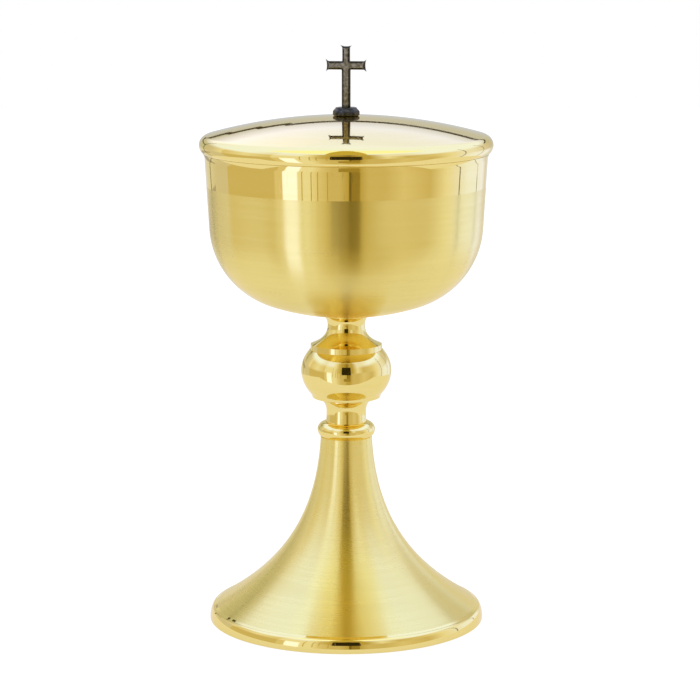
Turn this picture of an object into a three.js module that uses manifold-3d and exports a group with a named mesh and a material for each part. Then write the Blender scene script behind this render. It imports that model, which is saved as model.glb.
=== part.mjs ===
// A ciborium: a covered cup on a turned stem and a trumpet foot, in millimetres, +Z up.
// The origin is on the axis, at the height of the surface that the foot stands on.
import * as THREE from 'three';
import { mergeVertices } from 'three/addons/utils/BufferGeometryUtils.js';
import Module from 'manifold-3d';

// Clearances
const solderGap = 0.3;
const boreClearance = 0.4;
const threadClearance = 0.3;
const spigotClearance = 0.3;

// Foot: a spun shell with a closed crown, standing on a moulded ring
const footHeight = 90;
const footTopRadius = 12.4;
const footWall = 1.2;
const footCrown = 1.5;
const flareRadius = 64.2;
const flareTopLean = 3.2;
const flareTopReach = 37.9;
const flareFootLean = 30.7;
const flareFootReach = 40.4;
const rimRadius = 66.7;
const rimHeight = 6.6;
const rimWidth = 5.6;

// Stem pieces, from the foot up
const beadRadius = 4;
const collarRadius = 14;
const collarSkirt = 0.42;
const collarOverhang = 0.2;
const sleeveHeight = 11;
const sleeveEndRadius = 10.45;
const sleeveWaistRadius = 10;
const knopRadius = 21.8;
const knopUpperCurve = 14.9;
const knopLowerCurve = 21.3;
const knopSeatRadius = 15.6;
const knopWall = 1.2;
const neckHeight = 16.65;
const neckWaistRadius = 9.1;
const neckWaistHeight = 11.3;
const neckTopCurve = 11.4;
const plateRadius = 17.3;
const plateThickness = 2.7;
const plateBevel = 0.2;
const throatTopReach = 4;
const throatFootReach = 4.6;
const throatLean = 20;
const spigotRadius = 6;
const spigotLength = 1;

// Tie rod and what it clamps with
const rodRadius = 3;
const rodTail = 3;
const backingRadius = 9.8;
const backingThickness = 2;
const rodWasherRadius = 7;
const rodWasherThickness = 1.2;
const rodNutFlats = 10;
const rodNutHeight = 5;
const bossRadius = 6.2;
const bossHeight = 11;
const bossRoof = 2;

// Bowl: a spun cup with a rounded corner and a slightly flared lip
const bowlHeight = 77.3;
const lipRadius = 67.8;
const lipFlare = 0.42;
const lipHeight = 2;
const lipRound = 0.75;
const bowlWall = 1.2;
const bowlTaper = 3.32;
const bowlCornerRadius = 40.6;
const bowlBaseCurve = 120;

// Lid: a shallow dome with a rolled edge that rests on the lip
const lidOverhang = 2.2;
const lidRollRadius = 4.8;
const lidWall = 0.9;
const lidDomeCurve = 250;
const lidCurlAngle = 130;
const locatingDepth = 6.5;
const locatingWall = 1;
const locatingClearance = 0.6;

// Finial: an eight-sided knob and a cross with splayed, hollowed ends
const finialTurn = -6;
const knobSides = 8;
const knobHeight = 4;
const knobRadius = 6.45;
const knobSkirt = 0.4;
const knobWallHeight = 2.1;
const knobTopRadius = 5;
const knobTopHeight = 0.9;
const crossHeight = 29.3;
const crossArmHeight = 19.8;
const crossSpan = 19.3;
const crossThickness = 3;
const crossShaftWidth = 4;
const crossHeadWidth = 3.5;
const crossArmWidth = 3.9;
const crossTipSpread = 0.9;
const crossTipLength = 1.5;
const crossTipHollow = 0.6;
const crossFillet = 0.5;
const crossBevel = 0.7;
const crossBevelDepth = 0.45;
const studRadius = 1.5;
const studSpigotRadius = 0.8;
const studSpigotLength = 5;
const studSpigotClearance = 0.15;
const studTail = 1.5;
const lidWasherRadius = 4.5;
const lidWasherThickness = 0.8;
const lidNutFlats = 5.5;
const lidNutHeight = 2.4;

// Fineness of the round surfaces
const wideSides = 48;
const stemSides = 32;
const smallSides = 16;

const radians = THREE.MathUtils.degToRad;
const degrees = THREE.MathUtils.radToDeg;
const wasm = await Module();
wasm.setup();

// Finishes
const polishedGold = new THREE.MeshStandardMaterial({ color: 0xe6cf7a, roughness: 0.08, metalness: 1 });
const satinGold = new THREE.MeshStandardMaterial({ color: 0xd9bf6c, roughness: 0.38, metalness: 1 });
const plainBrass = new THREE.MeshStandardMaterial({ color: 0xb5984f, roughness: 0.35, metalness: 1 });
const steel = new THREE.MeshStandardMaterial({ color: 0x9a9a98, roughness: 0.35, metalness: 1 });
const darkPewter = new THREE.MeshStandardMaterial({ color: 0x5a564c, roughness: 0.45, metalness: 0.9 });

// Profile helpers: a profile is a list of [radius, height] pairs, counter-clockwise round the metal
function arc(centre, radius, fromDegrees, toDegrees, steps, heightRadius = radius) {
  const points = [];
  for (let step = 0; step <= steps; step += 1) {
    const angle = radians(fromDegrees + ((toDegrees - fromDegrees) * step) / steps);
    points.push([centre[0] + radius * Math.cos(angle), centre[1] + heightRadius * Math.sin(angle)]);
  }
  return points;
}

function bezier(start, startHandle, endHandle, end) {
  return new THREE.CubicBezierCurve(
    new THREE.Vector2(...start),
    new THREE.Vector2(...startHandle),
    new THREE.Vector2(...endHandle),
    new THREE.Vector2(...end),
  );
}

function pointsOf(curve, steps) {
  return curve.getPoints(steps).map((point) => [point.x, point.y]);
}

// The same curve moved sideways, to the left of its direction
function offsetOf(curve, distance, steps) {
  const points = [];
  for (let step = 0; step <= steps; step += 1) {
    const place = curve.getPoint(step / steps);
    const along = curve.getTangent(step / steps);
    points.push([place.x - along.y * distance, place.y + along.x * distance]);
  }
  return points;
}

// The stretch of a rising line of points between two heights, with an exact point at each end
function betweenHeights(points, low, high) {
  const kept = [];
  for (let index = 0; index + 1 < points.length; index += 1) {
    const [startRadius, startHeight] = points[index];
    const [endRadius, endHeight] = points[index + 1];
    const radiusAt = (height) =>
      startRadius + ((endRadius - startRadius) * (height - startHeight)) / (endHeight - startHeight);
    if (startHeight >= low && startHeight <= high) kept.push([startRadius, startHeight]);
    if (startHeight < low && endHeight > low) kept.push([radiusAt(low), low]);
    if (startHeight < high && endHeight > high) kept.push([radiusAt(high), high]);
  }
  return kept;
}

function turned(profile, sides) {
  const closed = profile[0][0] > 0 ? [...profile, profile[0]] : profile;
  const outline = closed.map(([radius, height]) => new THREE.Vector2(radius, height));
  const geometry = new THREE.LatheGeometry(outline, sides);
  geometry.rotateX(Math.PI / 2);
  return geometry;
}

// A plain ring or disc with a bore
function ring(outerRadius, innerRadius, height, sides) {
  return turned(
    [[innerRadius, 0], [outerRadius, 0], [outerRadius, height], [innerRadius, height]],
    sides,
  );
}

// Solids for cutting and joining
function solidOf(geometry) {
  const bare = geometry.index ? geometry.clone() : geometry;
  bare.deleteAttribute('normal');
  bare.deleteAttribute('uv');
  const merged = mergeVertices(bare, 1e-4);
  const vertProperties = new Float32Array(merged.attributes.position.array);
  const triVerts = new Uint32Array(merged.index.array);
  return new wasm.Manifold(new wasm.Mesh({ numProp: 3, vertProperties, triVerts }));
}

function geometryOf(solid) {
  const mesh = solid.getMesh();
  const geometry = new THREE.BufferGeometry();
  geometry.setAttribute('position', new THREE.BufferAttribute(mesh.vertProperties, 3));
  geometry.setIndex(new THREE.BufferAttribute(mesh.triVerts, 1));
  geometry.computeVertexNormals();
  return geometry;
}

// A hexagon nut with its corners turned off at both ends
function hexNut(acrossFlats, height, boreRadius) {
  const cornerRadius = acrossFlats / Math.sqrt(3);
  const outline = new THREE.Shape();
  for (let corner = 0; corner < 6; corner += 1) {
    const angle = (corner * Math.PI) / 3;
    const place = [cornerRadius * Math.cos(angle), cornerRadius * Math.sin(angle)];
    if (corner === 0) outline.moveTo(...place);
    else outline.lineTo(...place);
  }
  const prism = new THREE.ExtrudeGeometry(outline, { depth: height, bevelEnabled: false });
  const turnedOff = (cornerRadius - acrossFlats / 2) * Math.tan(radians(30));
  const barrel = turned(
    [
      [boreRadius, 0],
      [acrossFlats / 2, 0],
      [cornerRadius * 1.01, turnedOff],
      [cornerRadius * 1.01, height - turnedOff],
      [acrossFlats / 2, height],
      [boreRadius, height],
    ],
    smallSides,
  );
  return geometryOf(solidOf(prism).intersect(solidOf(barrel)));
}

// Heights of the stack, each piece standing on the one before it
const beadTopAngle = 80;
const beadFootAngle = -55;
const collarHeight =
  collarSkirt + beadRadius * (Math.sin(radians(beadTopAngle)) - Math.sin(radians(beadFootAngle)));
const knopLowerHeight = knopLowerCurve * Math.sqrt(1 - (knopSeatRadius / knopRadius) ** 2);
const knopUpperHeight = knopUpperCurve * Math.sqrt(1 - (plateRadius / knopRadius) ** 2);
const sleeveLevel = footHeight + collarHeight;
const knopLevel = sleeveLevel + sleeveHeight;
const knopSeamLevel = knopLevel + knopLowerHeight;
const neckLevel = knopSeamLevel + knopUpperHeight;
const bowlLevel = neckLevel + neckHeight;
const lipLevel = bowlLevel + bowlHeight;

// Bores and recesses shared by the stem
const rodBore = rodRadius + boreClearance;
const spigotBore = spigotRadius + spigotClearance;
const spigotRecess = spigotLength + spigotClearance;

// The wall of the bowl leans outwards to the lip, which flares a little more
const wallTop = [lipRadius - lipFlare, bowlHeight - lipHeight];
const wallLean = Math.tan(radians(bowlTaper));
const wallAcross = bowlWall / Math.cos(radians(bowlTaper));

// The centre of the bowl's rounded corner, which touches both the wall and the curve of the base
function cornerCentre() {
  const sideways = bowlCornerRadius / Math.cos(radians(bowlTaper));
  const radiusAtBase = wallTop[0] - wallTop[1] * wallLean - sideways;
  const reach = bowlBaseCurve - bowlCornerRadius;
  const a = 1 + wallLean ** 2;
  const b = 2 * (radiusAtBase * wallLean - bowlBaseCurve);
  const c = radiusAtBase ** 2 + bowlBaseCurve ** 2 - reach ** 2;
  const height = (-b - Math.sqrt(b * b - 4 * a * c)) / (2 * a);
  return [radiusAtBase + height * wallLean, height];
}

// One face of the bowl's wall from the axis to below the lip, thinned by a depth
function bowlFace(depth) {
  const centre = cornerCentre();
  const joinAngle = degrees(Math.atan2(centre[1] - bowlBaseCurve, centre[0]));
  const base = arc([0, bowlBaseCurve], bowlBaseCurve - depth, -90, joinAngle, 3);
  const corner = arc(centre, bowlCornerRadius - depth, joinAngle, -bowlTaper, 6);
  const across = depth / Math.cos(radians(bowlTaper));
  base[0][0] = 0;
  return [...base, ...corner.slice(1), [wallTop[0] - across, wallTop[1]]];
}

function bowlRadiusInside(height) {
  return wallTop[0] - (wallTop[1] - height) * wallLean - wallAcross;
}

function bowl() {
  const lipCentre = [lipRadius - lipRound, bowlHeight - lipRound];
  const lip = arc(lipCentre, lipRound, 0, 180, 4);
  return turned([...bowlFace(0), ...lip, ...bowlFace(bowlWall).reverse()], wideSides);
}

// Foot pieces
function footShell() {
  const topLean = radians(flareTopLean);
  const footLean = radians(flareFootLean);
  const flare = bezier(
    [flareRadius, rimHeight],
    [flareRadius - flareFootReach * Math.cos(footLean), rimHeight + flareFootReach * Math.sin(footLean)],
    [footTopRadius + flareTopReach * Math.sin(topLean), footHeight - flareTopReach * Math.cos(topLean)],
    [footTopRadius, footHeight],
  );
  const steps = 10;
  const inside = betweenHeights(offsetOf(flare, footWall, steps), rimHeight, footHeight - footCrown);
  return turned(
    [
      ...pointsOf(flare, steps),
      [spigotBore, footHeight],
      [spigotBore, footHeight - footCrown],
      ...inside.reverse(),
    ],
    wideSides,
  );
}

function footRim() {
  const swell = arc([flareRadius, 0], rimRadius - flareRadius, 0, 90, 5, rimHeight);
  const innerRadius = rimRadius - rimWidth;
  return turned([...swell, [innerRadius, rimHeight], [innerRadius, 0]], wideSides);
}

// Stem pieces, each with its bottom at height 0
function stemCollar() {
  const centre = [collarRadius - beadRadius, collarHeight - beadRadius * Math.sin(radians(beadTopAngle))];
  return turned(
    [
      [rodBore, -spigotLength],
      [spigotRadius, -spigotLength],
      [spigotRadius, 0],
      [footTopRadius + collarOverhang, 0],
      ...arc(centre, beadRadius, beadFootAngle, beadTopAngle, 8),
      [spigotBore, collarHeight],
      [spigotBore, collarHeight - spigotRecess],
      [rodBore, collarHeight - spigotRecess],
    ],
    stemSides,
  );
}

function stemSleeve() {
  const hollow = new THREE.QuadraticBezierCurve(
    new THREE.Vector2(sleeveEndRadius, 0),
    new THREE.Vector2(2 * sleeveWaistRadius - sleeveEndRadius, sleeveHeight / 2),
    new THREE.Vector2(sleeveEndRadius, sleeveHeight),
  );
  return turned(
    [
      [rodBore, -spigotLength],
      [spigotRadius, -spigotLength],
      [spigotRadius, 0],
      ...pointsOf(hollow, 4),
      [spigotRadius, sleeveHeight],
      [spigotRadius, sleeveHeight + spigotLength],
      [rodBore, sleeveHeight + spigotLength],
    ],
    stemSides,
  );
}

function ellipseAngle(radius, widest) {
  return degrees(Math.acos(radius / widest));
}

function knopLowerHalf() {
  const centre = [0, knopLowerHeight];
  const outer = arc(centre, knopRadius, -ellipseAngle(knopSeatRadius, knopRadius), 0, 6, knopLowerCurve);
  const hollowRadius = knopRadius - knopWall;
  const hollowCurve = knopLowerCurve - knopWall;
  const floorSine = (knopLowerHeight - knopWall) / hollowCurve;
  const floorAngle = degrees(Math.asin(floorSine));
  const inner = arc(centre, hollowRadius, 0, -floorAngle, 4, hollowCurve);
  return turned([[spigotBore, 0], ...outer, ...inner, [spigotBore, knopWall]], stemSides);
}

function knopUpperHalf() {
  const outer = arc([0, 0], knopRadius, 0, ellipseAngle(plateRadius, knopRadius), 5, knopUpperCurve);
  const hollowRadius = knopRadius - knopWall;
  const hollowCurve = knopUpperCurve - knopWall;
  const roofSine = (knopUpperHeight - knopWall) / hollowCurve;
  const roofAngle = degrees(Math.asin(roofSine));
  const inner = arc([0, 0], hollowRadius, roofAngle, 0, 3, hollowCurve);
  return turned(
    [...outer, [spigotBore, knopUpperHeight], [spigotBore, knopUpperHeight - knopWall], ...inner],
    stemSides,
  );
}

// The neck's top is dished to the curve of the bowl, and bored for the bowl's boss
function stemNeck() {
  const lean = radians(throatLean);
  const plateTop = [plateRadius - plateBevel, plateThickness];
  const throat = bezier(
    plateTop,
    [plateTop[0] - throatFootReach * Math.cos(lean), plateTop[1] + throatFootReach * Math.sin(lean)],
    [neckWaistRadius, neckWaistHeight - throatTopReach],
    [neckWaistRadius, neckWaistHeight],
  );
  const topRadius =
    neckWaistRadius + neckTopCurve - Math.sqrt(neckTopCurve ** 2 - (neckHeight - neckWaistHeight) ** 2);
  const dishHeight = (radius) =>
    neckHeight - solderGap + bowlBaseCurve - Math.sqrt(bowlBaseCurve ** 2 - radius ** 2);
  const topRise = degrees(Math.asin((neckHeight - neckWaistHeight) / neckTopCurve));
  const upper = arc([neckWaistRadius + neckTopCurve, neckWaistHeight], neckTopCurve, 180, 180 - topRise, 4);
  const bossBore = bossRadius + boreClearance;
  const bossFloor = neckHeight - solderGap - bossHeight - solderGap;
  return turned(
    [
      [rodBore, -spigotLength],
      [spigotRadius, -spigotLength],
      [spigotRadius, 0],
      [plateRadius, 0],
      ...pointsOf(throat, 7),
      ...upper.slice(1, -1),
      [topRadius, dishHeight(topRadius)],
      [bossBore, dishHeight(bossBore)],
      [bossBore, bossFloor],
      [rodBore, bossFloor],
    ],
    stemSides,
  );
}

// A blind boss under the cup, open at the bottom for the rod
function bowlBoss() {
  const threadBore = rodRadius + threadClearance;
  return turned(
    [
      [0, bossHeight - bossRoof],
      [threadBore, bossHeight - bossRoof],
      [threadBore, 0],
      [bossRadius, 0],
      [bossRadius, bossHeight],
      [0, bossHeight],
    ],
    smallSides,
  );
}

function rod(radius, length) {
  return turned([[0, 0], [radius, 0], [radius, length], [0, length]], smallSides);
}

// Lid pieces, measured from the centre of the rolled edge
const lidRadius = lipRadius + lidOverhang;
const rollCentreRadius = lidRadius - lidRollRadius;
const lipCentreRadius = lipRadius - lipRound;
const rollRise = Math.sqrt(
  (lidRollRadius + lipRound + solderGap) ** 2 - (rollCentreRadius - lipCentreRadius) ** 2,
);
const rollLevel = lipLevel - lipRound + rollRise;
const domeCentreHeight = -Math.sqrt((lidDomeCurve - lidRollRadius) ** 2 - rollCentreRadius ** 2);
const domeTop = domeCentreHeight + lidDomeCurve;
const studBore = studRadius + boreClearance;

function lidShell() {
  const domeCentre = [0, domeCentreHeight];
  const rollCentre = [rollCentreRadius, 0];
  const meetAngle = degrees(Math.atan2(-domeCentreHeight, rollCentreRadius));
  const innerCurve = lidDomeCurve - lidWall;
  const underside = arc(domeCentre, innerCurve, ellipseAngle(studBore, innerCurve), meetAngle, 4);
  const rollInside = arc(rollCentre, lidRollRadius - lidWall, meetAngle, -lidCurlAngle, 6);
  const rollOutside = arc(rollCentre, lidRollRadius, -lidCurlAngle, meetAngle, 9);
  const dome = arc(domeCentre, lidDomeCurve, meetAngle, ellipseAngle(studBore, lidDomeCurve), 4);
  return turned([...underside, ...rollInside.slice(1), ...rollOutside, ...dome.slice(1)], wideSides);
}

const locatingTop = -lidRollRadius - solderGap;
const locatingFoot = locatingTop - locatingDepth;
const locatingRadius = bowlRadiusInside(rollLevel + locatingFoot - bowlLevel) - locatingClearance;

// Finial pieces
function finialKnob() {
  return turned(
    [
      [studBore, 0],
      [knobRadius - knobSkirt, 0],
      [knobRadius, knobSkirt],
      [knobRadius, knobWallHeight],
      [knobTopRadius, knobHeight - knobTopHeight],
      [knobTopRadius, knobHeight],
      [studBore, knobHeight],
    ],
    knobSides,
  );
}

// The cross's outline, upright from its foot, drawn in by an inset all round but at the foot
function crossOutline(inset) {
  const shaft = crossShaftWidth / 2 - inset;
  const arm = crossArmWidth / 2 - inset;
  const head = crossHeadWidth / 2 - inset;
  const armReach = crossSpan / 2 - inset;
  const headReach = crossHeight - inset;
  const fillet = crossFillet + inset;
  const armTip = arm + crossTipSpread;
  const headTip = head + crossTipSpread;
  const underArm = crossArmHeight - arm;
  const overArm = crossArmHeight + arm;
  const half = new THREE.Path();
  half.moveTo(shaft, 0);
  half.lineTo(shaft, underArm - fillet);
  half.quadraticCurveTo(shaft, underArm, shaft + fillet, underArm);
  half.lineTo(armReach - crossTipLength, underArm);
  half.quadraticCurveTo(armReach - crossTipLength / 2, underArm, armReach, crossArmHeight - armTip);
  half.quadraticCurveTo(armReach - crossTipHollow, underArm, armReach - crossTipHollow, crossArmHeight);
  half.quadraticCurveTo(armReach - crossTipHollow, overArm, armReach, crossArmHeight + armTip);
  half.quadraticCurveTo(armReach - crossTipLength / 2, overArm, armReach - crossTipLength, overArm);
  half.lineTo(head + fillet, overArm);
  half.quadraticCurveTo(head, overArm, head, overArm + fillet);
  half.lineTo(head, headReach - crossTipLength);
  half.quadraticCurveTo(head, headReach - crossTipLength / 2, headTip, headReach);
  half.quadraticCurveTo(head, headReach - crossTipHollow, 0, headReach - crossTipHollow);
  const right = half.getPoints(3);
  const left = right.slice(0, -1).reverse().map((point) => new THREE.Vector2(-point.x, point.y));
  return [...right, ...left];
}

// A closed skin over upright outlines of equal length, from the front one to the back one
function lofted(layers) {
  const count = layers[0].outline.length;
  const rowOf = ({ outline, depth }) => outline.flatMap((point) => [point.x, depth, point.y]);
  const positions = layers.flatMap(rowOf);
  const cap = THREE.ShapeUtils.triangulateShape(layers[0].outline, []);
  const last = (layers.length - 1) * count;
  const triangles = cap.flatMap(([a, b, c]) => [a, b, c, last + c, last + b, last + a]);
  for (let layer = 0; layer + 1 < layers.length; layer += 1) {
    for (let index = 0; index < count; index += 1) {
      const next = (index + 1) % count;
      const [near, far] = [layer * count, (layer + 1) * count];
      triangles.push(near + index, far + index, far + next);
      triangles.push(near + index, far + next, near + next);
    }
  }
  const geometry = new THREE.BufferGeometry();
  geometry.setAttribute('position', new THREE.Float32BufferAttribute(positions, 3));
  geometry.setIndex(triangles);
  return geometry;
}

// The cross stands on its foot, bevelled front and back, and drilled from below for the stud
function cross() {
  const face = crossOutline(crossBevel);
  const edge = crossOutline(0);
  const faceDepth = crossThickness / 2;
  const edgeDepth = faceDepth - crossBevelDepth;
  const plate = lofted([
    { outline: face, depth: -faceDepth },
    { outline: edge, depth: -edgeDepth },
    { outline: edge, depth: edgeDepth },
    { outline: face, depth: faceDepth },
  ]);
  const drillRadius = studSpigotRadius + studSpigotClearance;
  const drillDepth = studSpigotLength + studSpigotClearance;
  const drill = new THREE.CylinderGeometry(drillRadius, drillRadius, 2 * drillDepth, smallSides);
  drill.rotateX(Math.PI / 2);
  return geometryOf(solidOf(plate).subtract(solidOf(drill)));
}

const washerTop =
  domeCentreHeight + Math.sqrt((lidDomeCurve - lidWall) ** 2 - lidWasherRadius ** 2) - solderGap;
const lidNutFoot = washerTop - lidWasherThickness - lidNutHeight;
const studFoot = lidNutFoot - studTail;
const studShoulder = domeTop + knobHeight - studFoot;

function finialStud() {
  return turned(
    [
      [0, 0],
      [studRadius, 0],
      [studRadius, studShoulder],
      [studSpigotRadius, studShoulder],
      [studSpigotRadius, studShoulder + studSpigotLength],
      [0, studShoulder + studSpigotLength],
    ],
    smallSides,
  );
}

// The assembly
const base = new THREE.Group();
const lid = new THREE.Group();
const finial = new THREE.Group();

function place(group, name, geometry, material, level) {
  const mesh = new THREE.Mesh(geometry, material);
  mesh.name = name;
  mesh.position.z = level;
  group.add(mesh);
}

const crownLevel = footHeight - footCrown;
const backingLevel = crownLevel - backingThickness;
const rodWasherLevel = backingLevel - rodWasherThickness;
const rodNutLevel = rodWasherLevel - rodNutHeight;
const rodFoot = rodNutLevel - rodTail;
const bossLevel = bowlLevel - solderGap - bossHeight;
const rodTop = bossLevel + bossHeight - bossRoof - solderGap;

const backingPlate = ring(backingRadius, rodBore, backingThickness, stemSides);
const rodWasher = ring(rodWasherRadius, rodBore, rodWasherThickness, smallSides);
const rodNut = hexNut(rodNutFlats, rodNutHeight, rodRadius + threadClearance);
place(base, 'foot_rim', footRim(), polishedGold, 0);
place(base, 'foot_shell', footShell(), satinGold, 0);
place(base, 'foot_backing_plate', backingPlate, plainBrass, backingLevel);
place(base, 'rod_washer', rodWasher, steel, rodWasherLevel);
place(base, 'rod_nut', rodNut, steel, rodNutLevel);
place(base, 'tie_rod', rod(rodRadius, rodTop - rodFoot), steel, rodFoot);
place(base, 'stem_collar', stemCollar(), polishedGold, footHeight);
place(base, 'stem_sleeve', stemSleeve(), polishedGold, sleeveLevel);
place(base, 'knop_lower_half', knopLowerHalf(), polishedGold, knopLevel);
place(base, 'knop_upper_half', knopUpperHalf(), polishedGold, knopSeamLevel);
place(base, 'stem_neck', stemNeck(), polishedGold, neckLevel);
place(base, 'bowl_boss', bowlBoss(), plainBrass, bossLevel);
place(base, 'bowl', bowl(), satinGold, bowlLevel);

const locatingRing = ring(locatingRadius, locatingRadius - locatingWall, locatingDepth, wideSides);
place(lid, 'lid_shell', lidShell(), polishedGold, 0);
place(lid, 'lid_locating_ring', locatingRing, polishedGold, locatingFoot);

const lidWasher = ring(lidWasherRadius, studBore, lidWasherThickness, smallSides);
const lidNut = hexNut(lidNutFlats, lidNutHeight, studRadius + threadClearance);
place(finial, 'finial_knob', finialKnob(), darkPewter, domeTop);
place(finial, 'cross', cross(), darkPewter, domeTop + knobHeight);
place(finial, 'finial_stud', finialStud(), steel, studFoot);
place(finial, 'lid_washer', lidWasher, plainBrass, washerTop - lidWasherThickness);
place(finial, 'lid_nut', lidNut, plainBrass, lidNutFoot);

finial.rotation.z = radians(finialTurn);
lid.position.z = rollLevel;
lid.add(finial);

const ciborium = new THREE.Group();
ciborium.add(base, lid);

export default ciborium;
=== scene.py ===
import math

import bmesh
import bpy
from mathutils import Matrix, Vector


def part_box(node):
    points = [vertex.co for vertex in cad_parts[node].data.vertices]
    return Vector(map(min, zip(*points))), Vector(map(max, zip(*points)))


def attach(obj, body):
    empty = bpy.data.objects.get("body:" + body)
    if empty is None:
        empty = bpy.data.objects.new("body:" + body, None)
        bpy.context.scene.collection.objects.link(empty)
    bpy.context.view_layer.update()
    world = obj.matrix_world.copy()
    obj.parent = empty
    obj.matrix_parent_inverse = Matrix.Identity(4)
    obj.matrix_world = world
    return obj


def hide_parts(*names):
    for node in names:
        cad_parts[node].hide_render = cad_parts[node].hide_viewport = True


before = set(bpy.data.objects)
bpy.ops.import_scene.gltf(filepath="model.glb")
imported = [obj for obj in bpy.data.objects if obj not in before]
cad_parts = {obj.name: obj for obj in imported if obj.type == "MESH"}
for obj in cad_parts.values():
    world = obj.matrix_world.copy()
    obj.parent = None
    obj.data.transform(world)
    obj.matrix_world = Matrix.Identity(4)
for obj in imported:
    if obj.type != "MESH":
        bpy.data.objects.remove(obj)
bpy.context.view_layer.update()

mm = 0.001

# The moulded foot ring
# A turned brass ring, gold plated and mirror polished, soldered under the edge of the foot.
# The whole vessel stands on its flat underside.

rim_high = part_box("foot_rim")[1]
rim_height = rim_high.z
rim_reach = 2.5 * mm
rim_width = 5.6 * mm
rim_ease = 0.3 * mm
rim_turns = 256
merge_reach = 0.002 * mm
smooth_under = math.radians(28)


def swept(centre, radius, start, end, steps, rise=None):
    """Points on a circle, or on an ellipse with its own rise, between two angles in degrees."""
    points = []
    for step in range(steps + 1):
        angle = math.radians(start + (end - start) * step / steps)
        height = (radius if rise is None else rise) * math.sin(angle)
        points.append((centre[0] + radius * math.cos(angle), centre[1] + height))
    return points


def drawn(name, points):
    """Starts a piece as a line that runs through the points, left in edit mode."""
    bpy.ops.object.select_all(action="DESELECT")
    bpy.ops.mesh.primitive_plane_add(size=mm, location=(0, 0, 0))
    piece = bpy.context.object
    piece.name = name
    piece.data.name = name
    bpy.ops.object.mode_set(mode="EDIT")
    bpy.ops.mesh.select_mode(type="VERT")
    bpy.ops.mesh.merge(type="CENTER")
    bpy.ops.transform.translate(value=points[0])
    for start, end in zip(points, points[1:]):
        step = Vector(end) - Vector(start)
        bpy.ops.mesh.extrude_region_move(TRANSFORM_OT_translate={"value": step})
    return piece


def weld(reach):
    """Merges the points of the mesh in edit mode that lie within a reach of each other."""
    bpy.ops.mesh.select_all(action="SELECT")
    bpy.ops.mesh.remove_doubles(threshold=reach)


def face_outwards():
    """Turns every face of the mesh in edit mode outwards, and leaves edit mode."""
    bpy.ops.mesh.select_all(action="SELECT")
    bpy.ops.mesh.normals_make_consistent(inside=False)
    bpy.ops.object.mode_set(mode="OBJECT")


def revolved(steps):
    """Spins the line in edit mode all round the axis, into a closed skin that faces outwards."""
    bpy.ops.mesh.select_all(action="SELECT")
    bpy.ops.mesh.spin(steps=steps, angle=2 * math.pi, center=(0, 0, 0), axis=(0, 0, 1))
    weld(merge_reach)
    face_outwards()


def turned(name, profile, turns):
    """A piece turned on the lathe from a closed profile of radius and height."""
    closed = profile if profile[0][0] == 0 else profile + profile[:1]
    piece = drawn(name, [(radius, 0, height) for radius, height in closed])
    revolved(turns)
    bpy.ops.object.shade_smooth_by_angle(angle=smooth_under)
    return piece


def fit(piece, material, slot, body, *nodes):
    """Gives a finished piece its material, its body and the CAD nodes it stands for."""
    piece.data.materials.append(material)
    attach(piece, body)
    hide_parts(*nodes)


def add_node(tree, kind, **settings):
    node = tree.nodes.new(kind)
    for setting, value in settings.items():
        setattr(node, setting, value)
    return node


def feed(tree, socket, value):
    """Sets a socket to a number or a vector, or links it to another node's output."""
    if isinstance(value, bpy.types.NodeSocket):
        tree.links.new(value, socket)
    else:
        socket.default_value = value


def maths(tree, operation, first, second=0.0):
    node = add_node(tree, "ShaderNodeMath", operation=operation)
    feed(tree, node.inputs[0], first)
    feed(tree, node.inputs[1], second)
    return node.outputs[0]


def ranged(tree, value, low, high, to_low, to_high):
    node = add_node(tree, "ShaderNodeMapRange", clamp=True)
    for socket, given in zip(node.inputs, (value, low, high, to_low, to_high)):
        feed(tree, socket, given)
    return node.outputs[0]


def grouped(name, inputs, outputs):
    """An empty node group with number inputs and outputs, and the ends to wire them to."""
    tree = bpy.data.node_groups.new(name, "ShaderNodeTree")
    for label, value in inputs.items():
        socket = tree.interface.new_socket(name=label, in_out="INPUT", socket_type="NodeSocketFloat")
        socket.default_value = value
    for label in outputs:
        tree.interface.new_socket(name=label, in_out="OUTPUT", socket_type="NodeSocketFloat")
    return tree, add_node(tree, "NodeGroupInput").outputs, add_node(tree, "NodeGroupOutput").inputs


least_radius = 0.5 * mm
broad_lines_per_mm = 0.35


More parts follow.
